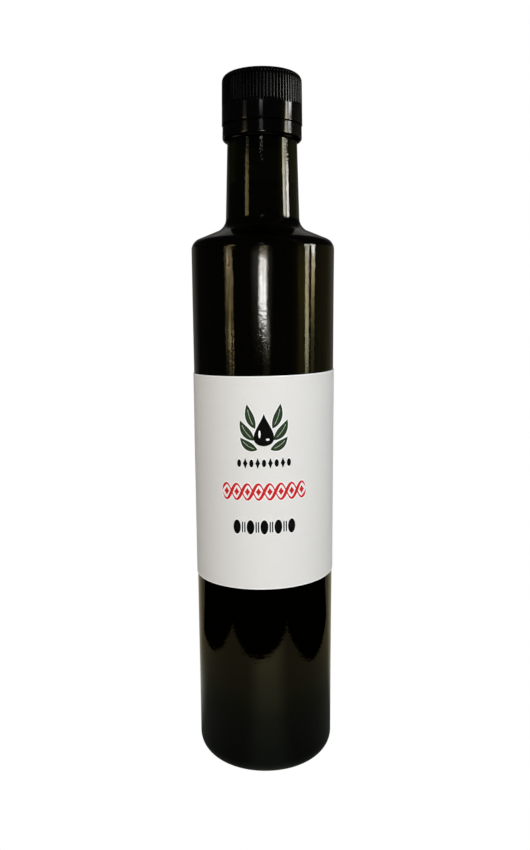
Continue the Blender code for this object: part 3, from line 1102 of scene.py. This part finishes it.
# Each panel: azimuth, lean (turn for each degree of height), half width and blur in degrees, how
# strongly its upright strands show, then rows of a height in degrees and the colour there.
PANELS = (
    # In front: on the body, beside it low down, its wide glow, and on the ring and cap.
    (0.0, 0.3, 5.5, 2.6, 0.3, (
        (-1.4, 0.0, 0.0, 0.0), (-1.0, 5.0, 4.9, 4.6), (-0.5, 16.0, 15.8, 15.2), (0.1, 21.0, 20.6, 20.0),
        (2.65, 21.0, 20.6, 20.0), (3.0, 7.5, 7.0, 5.3), (3.6, 4.2, 3.8, 2.9), (4.0, 3.0, 2.6, 2.0),
        (5.0, 2.2, 1.9, 1.4), (6.5, 1.0, 0.9, 0.6), (8.0, 0.0, 0.0, 0.0),
    )),
    (4.2, 0.0, 4.6, 3.4, 0.3, (
        (-5.2, 0.0, 0.0, 0.0), (-4.6, 0.12, 0.1, 0.05), (-3.0, 0.2, 0.19, 0.13), (-2.3, 0.75, 0.7, 0.58),
        (-1.7, 3.6, 3.5, 3.3), (-1.2, 3.0, 2.9, 2.7), (-0.6, 0.6, 0.6, 0.5), (0.5, 0.0, 0.0, 0.0),
    )),
    (-1.5, 0.0, 10.5, 9.0, 0.3, (
        (-3.5, 0.0, 0.0, 0.0), (-2.0, 0.22, 0.2, 0.12), (0.3, 0.4, 0.37, 0.28), (2.3, 0.75, 0.72, 0.62),
        (3.6, 0.8, 0.75, 0.6), (5.0, 0.35, 0.32, 0.2), (7.0, 0.0, 0.0, 0.0),
    )),
    (-2.5, 0.0, 4.2, 2.0, 0.4, (
        (14.5, 0.0, 0.0, 0.0), (14.9, 1.2, 1.2, 1.2), (15.3, 2.4, 2.4, 2.4), (15.7, 2.4, 2.4, 2.4),
        (16.2, 0.7, 0.7, 0.7), (20.0, 0.4, 0.4, 0.4), (30.0, 0.0, 0.0, 0.0),
    )),
    # To the left: on the body and on the neck.
    (-55.3, -0.3, 6.5, 1.2, 1.3, (
        (-6.0, 0.0, 0.0, 0.0), (-4.5, 0.45, 0.33, 0.15), (-3.9, 1.3, 0.95, 0.43), (-2.0, 3.0, 2.45, 1.2),
        (-0.9, 0.85, 0.63, 0.2), (0.4, 2.0, 1.5, 0.68), (2.0, 2.6, 2.0, 1.0), (3.2, 3.6, 2.9, 1.6),
        (4.0, 2.8, 2.4, 1.4), (6.0, 1.4, 1.1, 0.5), (7.5, 0.0, 0.0, 0.0),
    )),
    (-50.3, 0.0, 5.3, 1.8, 0.9, (
        (6.0, 0.0, 0.0, 0.0), (8.0, 1.5, 1.2, 0.5), (11.2, 2.4, 1.9, 0.85), (12.9, 1.3, 1.0, 0.45),
        (13.7, 0.17, 0.17, 0.16), (15.6, 0.13, 0.13, 0.12), (16.2, 0.0, 0.0, 0.0),
    )),
    # To the right, first streak: on the body, the neck and the cap.
    (74.3, 0.0, 3.6, 1.2, 0.7, (
        (-7.0, 0.4, 0.3, 0.15), (-4.0, 2.0, 1.8, 1.1), (-1.9, 4.4, 4.2, 2.6), (0.3, 5.4, 4.6, 2.6),
        (2.3, 5.6, 4.6, 2.8), (3.9, 6.4, 6.1, 4.5), (4.5, 8.0, 7.7, 6.2), (6.5, 7.0, 6.6, 5.2),
        (8.0, 0.0, 0.0, 0.0),
    )),
    (73.6, 0.0, 5.0, 1.4, 0.7, (
        (6.5, 0.0, 0.0, 0.0), (8.0, 8.0, 7.6, 6.2), (10.5, 10.0, 9.7, 8.2), (12.0, 9.0, 8.5, 6.3),
        (13.2, 5.3, 4.6, 2.6), (13.9, 4.5, 4.0, 2.8), (14.3, 0.0, 0.0, 0.0),
    )),
    (74.4, 0.0, 2.8, 1.2, 0.5, (
        (13.7, 0.0, 0.0, 0.0), (14.2, 8.0, 8.0, 7.8), (15.7, 9.0, 9.0, 8.8), (16.3, 1.8, 1.8, 1.7),
        (20.0, 1.2, 1.2, 1.2), (24.0, 0.0, 0.0, 0.0),
    )),
    # To the right, second streak: on the body and the neck, between the two, and on the cap.
    (86.3, 0.0, 3.3, 1.2, 0.7, (
        (-7.0, 0.15, 0.12, 0.05), (-4.0, 0.5, 0.41, 0.18), (-1.9, 0.75, 0.66, 0.25),
        (0.3, 2.1, 1.65, 0.7), (2.3, 4.6, 3.8, 2.0), (3.4, 5.6, 5.1, 3.9), (3.9, 7.0, 6.6, 6.0),
        (4.5, 12.0, 11.6, 10.9), (6.5, 10.0, 9.6, 9.0), (8.0, 0.0, 0.0, 0.0),
    )),
    (87.6, 0.0, 4.3, 1.5, 0.5, (
        (6.5, 0.0, 0.0, 0.0), (8.0, 10.0, 9.6, 9.0), (10.5, 14.5, 14.0, 13.6), (11.9, 12.5, 12.0, 11.2),
        (12.5, 0.8, 0.7, 0.5), (13.5, 0.0, 0.0, 0.0),
    )),
    (81.0, 0.0, 2.8, 1.6, 0.5, (
        (8.5, 0.0, 0.0, 0.0), (9.5, 4.0, 3.9, 3.6), (12.1, 4.0, 3.9, 3.6), (12.6, 8.0, 7.6, 5.8),
        (13.8, 6.0, 5.6, 4.4), (14.3, 0.0, 0.0, 0.0),
    )),
    (86.5, 0.0, 5.2, 1.5, 0.5, (
        (13.7, 0.0, 0.0, 0.0), (14.2, 12.0, 12.0, 11.8), (15.7, 12.0, 12.0, 11.8), (16.3, 2.4, 2.4, 2.3),
        (20.0, 1.4, 1.4, 1.4), (24.0, 0.0, 0.0, 0.0),
    )),
    # To the right: a faint glow inside the streaks, and the side of the room.
    (65.5, 0.0, 7.5, 3.5, 0.4, (
        (-7.0, 0.12, 0.1, 0.03), (-2.0, 0.18, 0.15, 0.04), (2.0, 0.26, 0.21, 0.05),
        (4.5, 0.16, 0.13, 0.04), (9.0, 0.05, 0.04, 0.01),
    )),
    (98.0, 0.0, 42.0, 14.0, 0.3, (
        (-8.0, 0.07, 0.062, 0.025), (5.0, 0.07, 0.062, 0.02), (12.0, 0.06, 0.054, 0.024),
        (15.5, 0.0, 0.0, 0.0),
    )),
    # Behind: low down and higher up.
    (180.0, 0.0, 42.0, 14.0, 0.0, (
        (-8.0, 0.13, 0.12, 0.1), (8.0, 0.13, 0.12, 0.1), (12.0, 0.0, 0.0, 0.0),
    )),
    (180.0, 0.0, 22.0, 12.0, 0.0, (
        (7.0, 0.0, 0.0, 0.0), (12.0, 0.14, 0.132, 0.12), (16.0, 0.07, 0.066, 0.06),
        (19.0, 0.09, 0.085, 0.077), (24.0, 0.2, 0.19, 0.175), (32.0, 0.12, 0.115, 0.1),
        (39.0, 0.07, 0.066, 0.055), (44.0, 0.0, 0.0, 0.0),
    )),
)


def colour_by(tree, value, low, high, stops):
    """The colour at the value, read off the stops from low to high, as a share of the brightest."""
    inputs = {"Value": value, "From Min": low, "From Max": high}
    place = add_node(tree, "ShaderNodeMapRange", inputs).outputs[0]
    colours = add_node(tree, "ShaderNodeValToRGB", {"Fac": place})
    elements = colours.color_ramp.elements
    while len(elements) < len(stops):
        elements.new(1.0)
    for element, (at, *light) in zip(elements, stops):
        element.position = (at - low) / (high - low)
        element.color = rgba([share / BRIGHTEST for share in light])
    return colours.outputs[0]


def panel_mask(tree, azimuth, centre, half_width, blur):
    """A soft panel's mask by the azimuth in degrees."""
    sizes = {"Centre": centre, "Half_Width": half_width, "Blur": blur}
    return placed(tree, soft_panel(), Azimuth=azimuth, **sizes)["Mask"]


def panel_light(tree, azimuth, height, strands, panel):
    """The light of one panel: its mask times its colour by height, with its share of the strands."""
    centre, lean, half_width, blur, strand_share, stops = panel
    middle = maths(tree, "MULTIPLY_ADD", height, lean, centre)
    mask = panel_mask(tree, azimuth, middle, half_width, blur)
    strand = maths(tree, "MULTIPLY_ADD", strands, strand_share, 1.0)
    mask = maths(tree, "MULTIPLY", mask, strand)
    strength = maths(tree, "MULTIPLY", mask, BRIGHTEST)
    return scaled(tree, colour_by(tree, height, LOWEST, HIGHEST, stops), strength)


def squared_cosine(tree, direction, towards):
    """The square of the cosine between the two directions, and 0 on the far side."""
    cosine = vector_maths(tree, "DOT_PRODUCT", direction, towards)["Value"]
    return maths(tree, "POWER", maths(tree, "MAXIMUM", cosine, 0.0), 2.0)


def seen_by_rays(tree, matt, glossy, through_glass):
    """White to the camera, and one light each on matt surfaces, in reflections and through glass."""
    path = add_node(tree, "ShaderNodeLightPath").outputs
    seen = mixed(tree, path["Is Glossy Ray"], matt, glossy)
    seen = mixed(tree, path["Is Transmission Ray"], seen, through_glass)
    return mixed(tree, path["Is Camera Ray"], seen, rgba((1.0, 1.0, 1.0)))


# Where the light on matt surfaces comes from, its colour from the left and from the right, and the
# sideways part of a direction at which each is reached.
FRONT_LIGHT_SIDE, BACK_LIGHT_SIDE = (0.1736, -0.9848, 0.0), (0.0, 1.0, 0.0)
LEFT_TINT, RIGHT_TINT = (0.99, 0.97, 0.93), (0.95, 1.0, 1.04)
TINT_REACH = 0.9

# What shows through the glass of the room and the floor, and the floor's light on matt surfaces.
ROOM_THROUGH_GLASS = (0.20, 0.19, 0.14)
FLOOR_THROUGH_GLASS = (0.12, 0.11, 0.08)
FLOOR_LIGHT = (0.30, 0.295, 0.285)

# How ragged the panels' ends are in degrees, and how the strands run and swell.
RAGGED = 1.2
STRAND_STRETCH, STRAND_SCALE = 0.25, 0.42
STRAND_RANGE, STRAND_SWELL = (0.41, 0.59), (-0.7, 0.7)


def studio_world(settings):
    """White to the camera, soft panels in a dark room in reflections, and soft light on matt things."""
    world = bpy.data.worlds.new("studio")
    world.use_nodes = True
    world.cycles.sampling_method = "NONE"
    tree = world.node_tree
    direction = add_node(tree, "ShaderNodeTexCoord").outputs["Generated"]
    parts = add_node(tree, "ShaderNodeSeparateXYZ", {0: direction}).outputs
    azimuth = maths(tree, "DEGREES", turn_of(tree, parts))
    height = maths(tree, "DEGREES", maths(tree, "ARCSINE", parts["Z"]))
    ragged = noise(tree, direction, 60.0, detail=3.0)
    ragged = maths(tree, "ADD", height, maths(tree, "MULTIPLY_ADD", ragged, RAGGED, -RAGGED / 2.0))
    upright = {0: azimuth, 1: maths(tree, "MULTIPLY", height, STRAND_STRETCH)}
    upright = add_node(tree, "ShaderNodeCombineXYZ", upright).outputs[0]
    strands = noise(tree, upright, STRAND_SCALE, detail=3.0, roughness=0.7)
    strands = ramp(tree, strands, *STRAND_RANGE, *STRAND_SWELL)

    room = dict(enumerate([settings.room_light] * 3))
    light = add_node(tree, "ShaderNodeCombineXYZ", room).outputs[0]
    for panel in PANELS:
        light = vector_maths(tree, "ADD", light, panel_light(tree, azimuth, ragged, strands, panel))[0]

    front = squared_cosine(tree, direction, FRONT_LIGHT_SIDE)
    back = squared_cosine(tree, direction, BACK_LIGHT_SIDE)
    soft = maths(tree, "MULTIPLY_ADD", front, settings.front_light, settings.fill_light)
    soft = maths(tree, "MULTIPLY_ADD", back, settings.back_light, soft)
    to_right = ramp(tree, parts["X"], -TINT_REACH, TINT_REACH)
    matt = scaled(tree, mixed(tree, to_right, rgba(LEFT_TINT), rgba(RIGHT_TINT)), soft)
    seen = seen_by_rays(tree, matt, light, rgba(ROOM_THROUGH_GLASS))
    join(tree, seen, tree.nodes["Background"].inputs["Color"])
    return world


def corner_side(tree, place, start, end):
    """1 to the left of the line from start to end, and 0 to its right, in the plane of the floor."""
    along = (end[0] - start[0], end[1] - start[1])
    size = math.hypot(*along)
    normal = (-along[1] / size, along[0] / size, 0.0)
    offset = -(normal[0] * start[0] + normal[1] * start[1])
    distance = maths(tree, "ADD", vector_maths(tree, "DOT_PRODUCT", place, normal)["Value"], offset)
    return ramp(tree, distance, -BOARD_EDGE, BOARD_EDGE)


# Corners of the pale board that the bottle stands on, seen only in reflections, and its soft edge.
BOARD = ((-0.1555, -0.1183), (0.0, -0.1503), (0.1112, -0.1584), (0.158, 0.138), (-0.1265, 0.165))
BOARD_EDGE = 0.001

# The board's painted light by distance from the bottle's axis, low near it as the bottle's painted shadow:
# all round, and added in front, behind and left.
BOARD_REACH = 0.25
BOARD_ROUND = (
    (0.04, 0.055, 0.062, 0.052), (0.06, 0.07, 0.076, 0.062), (0.08, 0.08, 0.084, 0.06),
    (0.1, 0.12, 0.12, 0.075), (0.14, 0.19, 0.155, 0.08), (0.25, 0.19, 0.155, 0.08),
)
BOARD_FRONT = (
    (0.05, 0.05, 0.06, 0.04), (0.06, 0.07, 0.08, 0.05), (0.08, 0.09, 0.1, 0.06), (0.1, 0.19, 0.19, 0.11),
    (0.15, 0.33, 0.3, 0.16), (0.25, 0.33, 0.3, 0.16),
)
BOARD_BACK = (
    (0.04, 0.3, 0.3, 0.275), (0.085, 0.45, 0.445, 0.4), (0.13, 0.24, 0.235, 0.2),
)
BOARD_LEFT = (
    (0.03, 0.1, 0.1, 0.09), (0.08, 0.22, 0.217, 0.2), (0.14, 0.0, 0.0, 0.0),
)

# Azimuth, half width and blur in degrees of each added light.
BOARD_LIGHTS = (
    (4.0, 20.0, 14.0, BOARD_FRONT),
    (180.0, 45.0, 15.0, BOARD_BACK),
    (-124.0, 9.0, 14.0, BOARD_LEFT),
)

# The floor round the back of the board is pale too, as a wide wedge that opens away from the bottle:
# how its sides fall back from the middle and to the right, how soft they are, and where it ends.
WEDGE_SLOPE, WEDGE_SKEW = -0.375, -0.025
WEDGE_EDGE = (0.037, 0.041)
WEDGE_END = (0.28, 0.34)


def floor_material(settings):
    """A white floor to the camera, and in reflections a pale board in a dark room."""
    material = bpy.data.materials.new("studio_floor")
    material.use_nodes = True
    material.cycles.emission_sampling = "NONE"
    tree = material.node_tree
    tree.nodes.remove(tree.nodes["Principled BSDF"])
    place = add_node(tree, "ShaderNodeTexCoord").outputs["Object"]
    board = 1.0
    for start, end in zip(BOARD, BOARD[1:] + BOARD[:1]):
        board = maths(tree, "MULTIPLY", board, corner_side(tree, place, start, end))
    parts = add_node(tree, "ShaderNodeSeparateXYZ", {0: place}).outputs
    azimuth = maths(tree, "DEGREES", turn_of(tree, parts))
    from_axis = vector_maths(tree, "LENGTH", place)["Value"]
    # Painted light on the board, dimmer near the bottle's axis as a painted shadow of the bottle.
    reflected = colour_by(tree, from_axis, 0.0, BOARD_REACH, BOARD_ROUND)
    for centre, half_width, blur, stops in BOARD_LIGHTS:
        mask = panel_mask(tree, azimuth, centre, half_width, blur)
        part = scaled(tree, colour_by(tree, from_axis, 0.0, BOARD_REACH, stops), mask)
        reflected = vector_maths(tree, "ADD", reflected, part)[0]
    wedge = maths(tree, "MULTIPLY_ADD", maths(tree, "ABSOLUTE", parts["X"]), WEDGE_SLOPE, parts["Y"])
    wedge = maths(tree, "MULTIPLY_ADD", parts["X"], WEDGE_SKEW, wedge)
    near = ramp(tree, from_axis, *WEDGE_END, 1.0, 0.0)
    wedge = maths(tree, "MULTIPLY", ramp(tree, wedge, *WEDGE_EDGE), near)
    board = maths(tree, "MAXIMUM", board, wedge)
    board = maths(tree, "MULTIPLY", board, settings.board_light * BRIGHTEST)
    reflected = scaled(tree, reflected, board)
    seen = seen_by_rays(tree, rgba(FLOOR_LIGHT), reflected, rgba(FLOOR_THROUGH_GLASS))
    glow = add_node(tree, "ShaderNodeEmission", {"Color": seen})
    join(tree, glow.outputs[0], tree.nodes["Material Output"].inputs["Surface"])
    return material


def place_camera(context, settings):
    """A camera that looks along +Y, pitched down and rolled by the set angles."""
    pitch, roll = settings.camera_pitch, settings.camera_roll
    forward = np.array([0.0, math.cos(pitch), -math.sin(pitch)])
    side = np.array([1.0, 0.0, 0.0])
    up = np.array([0.0, math.sin(pitch), math.cos(pitch)])
    rolled_side = math.cos(roll) * side + math.sin(roll) * up
    rolled_up = math.cos(roll) * up - math.sin(roll) * side
    matrix = np.eye(4)
    matrix[:3, 0], matrix[:3, 1], matrix[:3, 2] = rolled_side, rolled_up, -forward
    matrix[:3, 3] = settings.camera_place
    lens = bpy.data.cameras.new("camera")
    lens.lens = settings.focal_length
    lens.shift_y = settings.shift
    lens.clip_start, lens.clip_end = 0.01, 10.0
    camera = bpy.data.objects.new("camera", lens)
    camera.matrix_world = Matrix(matrix.tolist())
    context.scene.collection.objects.link(camera)
    context.scene.camera = camera


class OILBOTTLE_OT_studio(Operator):
    """Set up the floor, the light and the camera"""

    bl_idname = "oilbottle.studio"
    bl_label = "Studio"

    def execute(self, context):
        settings = context.scene.oilbottle_studio
        half = settings.floor_size / 2.0
        corners = np.array([(-half, -half, 0.0), (half, -half, 0.0), (half, half, 0.0), (-half, half, 0.0)])
        floor = new_object("studio_floor", corners, [[0, 1, 2, 3]])
        floor.data.materials.append(floor_material(settings))
        context.scene.world = studio_world(settings)
        context.scene.view_settings.view_transform = "Standard"
        place_camera(context, settings)
        return {"FINISHED"}


GROUPS = (
    ("oilbottle_glass", GlassSizes),
    ("oilbottle_oil", OilSizes),
    ("oilbottle_cap", CapSizes),
    ("oilbottle_label", LabelSizes),
    ("oilbottle_print", PrintSizes),
    ("oilbottle_finishes", Finishes),
    ("oilbottle_studio", StudioSettings),
)
OPERATORS = (
    OILBOTTLE_OT_glass,
    OILBOTTLE_OT_oil,
    OILBOTTLE_OT_cap,
    OILBOTTLE_OT_ring,
    OILBOTTLE_OT_label,
    OILBOTTLE_OT_print,
    OILBOTTLE_OT_studio,
)


class OILBOTTLE_PT_panel(Panel):
    """Lists the pieces of the bottle and their sizes"""

    bl_label = "Olive Oil Bottle"
    bl_idname = "OILBOTTLE_PT_panel"
    bl_space_type = "VIEW_3D"
    bl_region_type = "UI"
    bl_category = "Oil Bottle"

    def draw(self, context):
        for operator in OPERATORS:
            self.layout.operator(operator.bl_idname)
        for attribute, group in GROUPS:
            box = self.layout.box()
            box.label(text=group.__doc__.rstrip("."))
            for name in group.__annotations__:
                box.prop(getattr(context.scene, attribute), name)


def register():
    """Registers the property groups, the operators and the panel."""
    for attribute, group in GROUPS:
        bpy.utils.register_class(group)
        setattr(bpy.types.Scene, attribute, PointerProperty(type=group))
    for operator in OPERATORS:
        bpy.utils.register_class(operator)
    bpy.utils.register_class(OILBOTTLE_PT_panel)


def unregister():
    """Takes all of them off again."""
    bpy.utils.unregister_class(OILBOTTLE_PT_panel)
    for operator in reversed(OPERATORS):
        bpy.utils.unregister_class(operator)
    for attribute, group in reversed(GROUPS):
        delattr(bpy.types.Scene, attribute)
        bpy.utils.unregister_class(group)


def main():
    """Builds the pieces and the studio."""
    register()
    bpy.ops.oilbottle.glass()
    bpy.ops.oilbottle.oil()
    bpy.ops.oilbottle.cap()
    bpy.ops.oilbottle.ring()
    bpy.ops.oilbottle.label()
    bpy.ops.oilbottle.print()
    bpy.ops.oilbottle.studio()


if __name__ == "__main__":
    main()
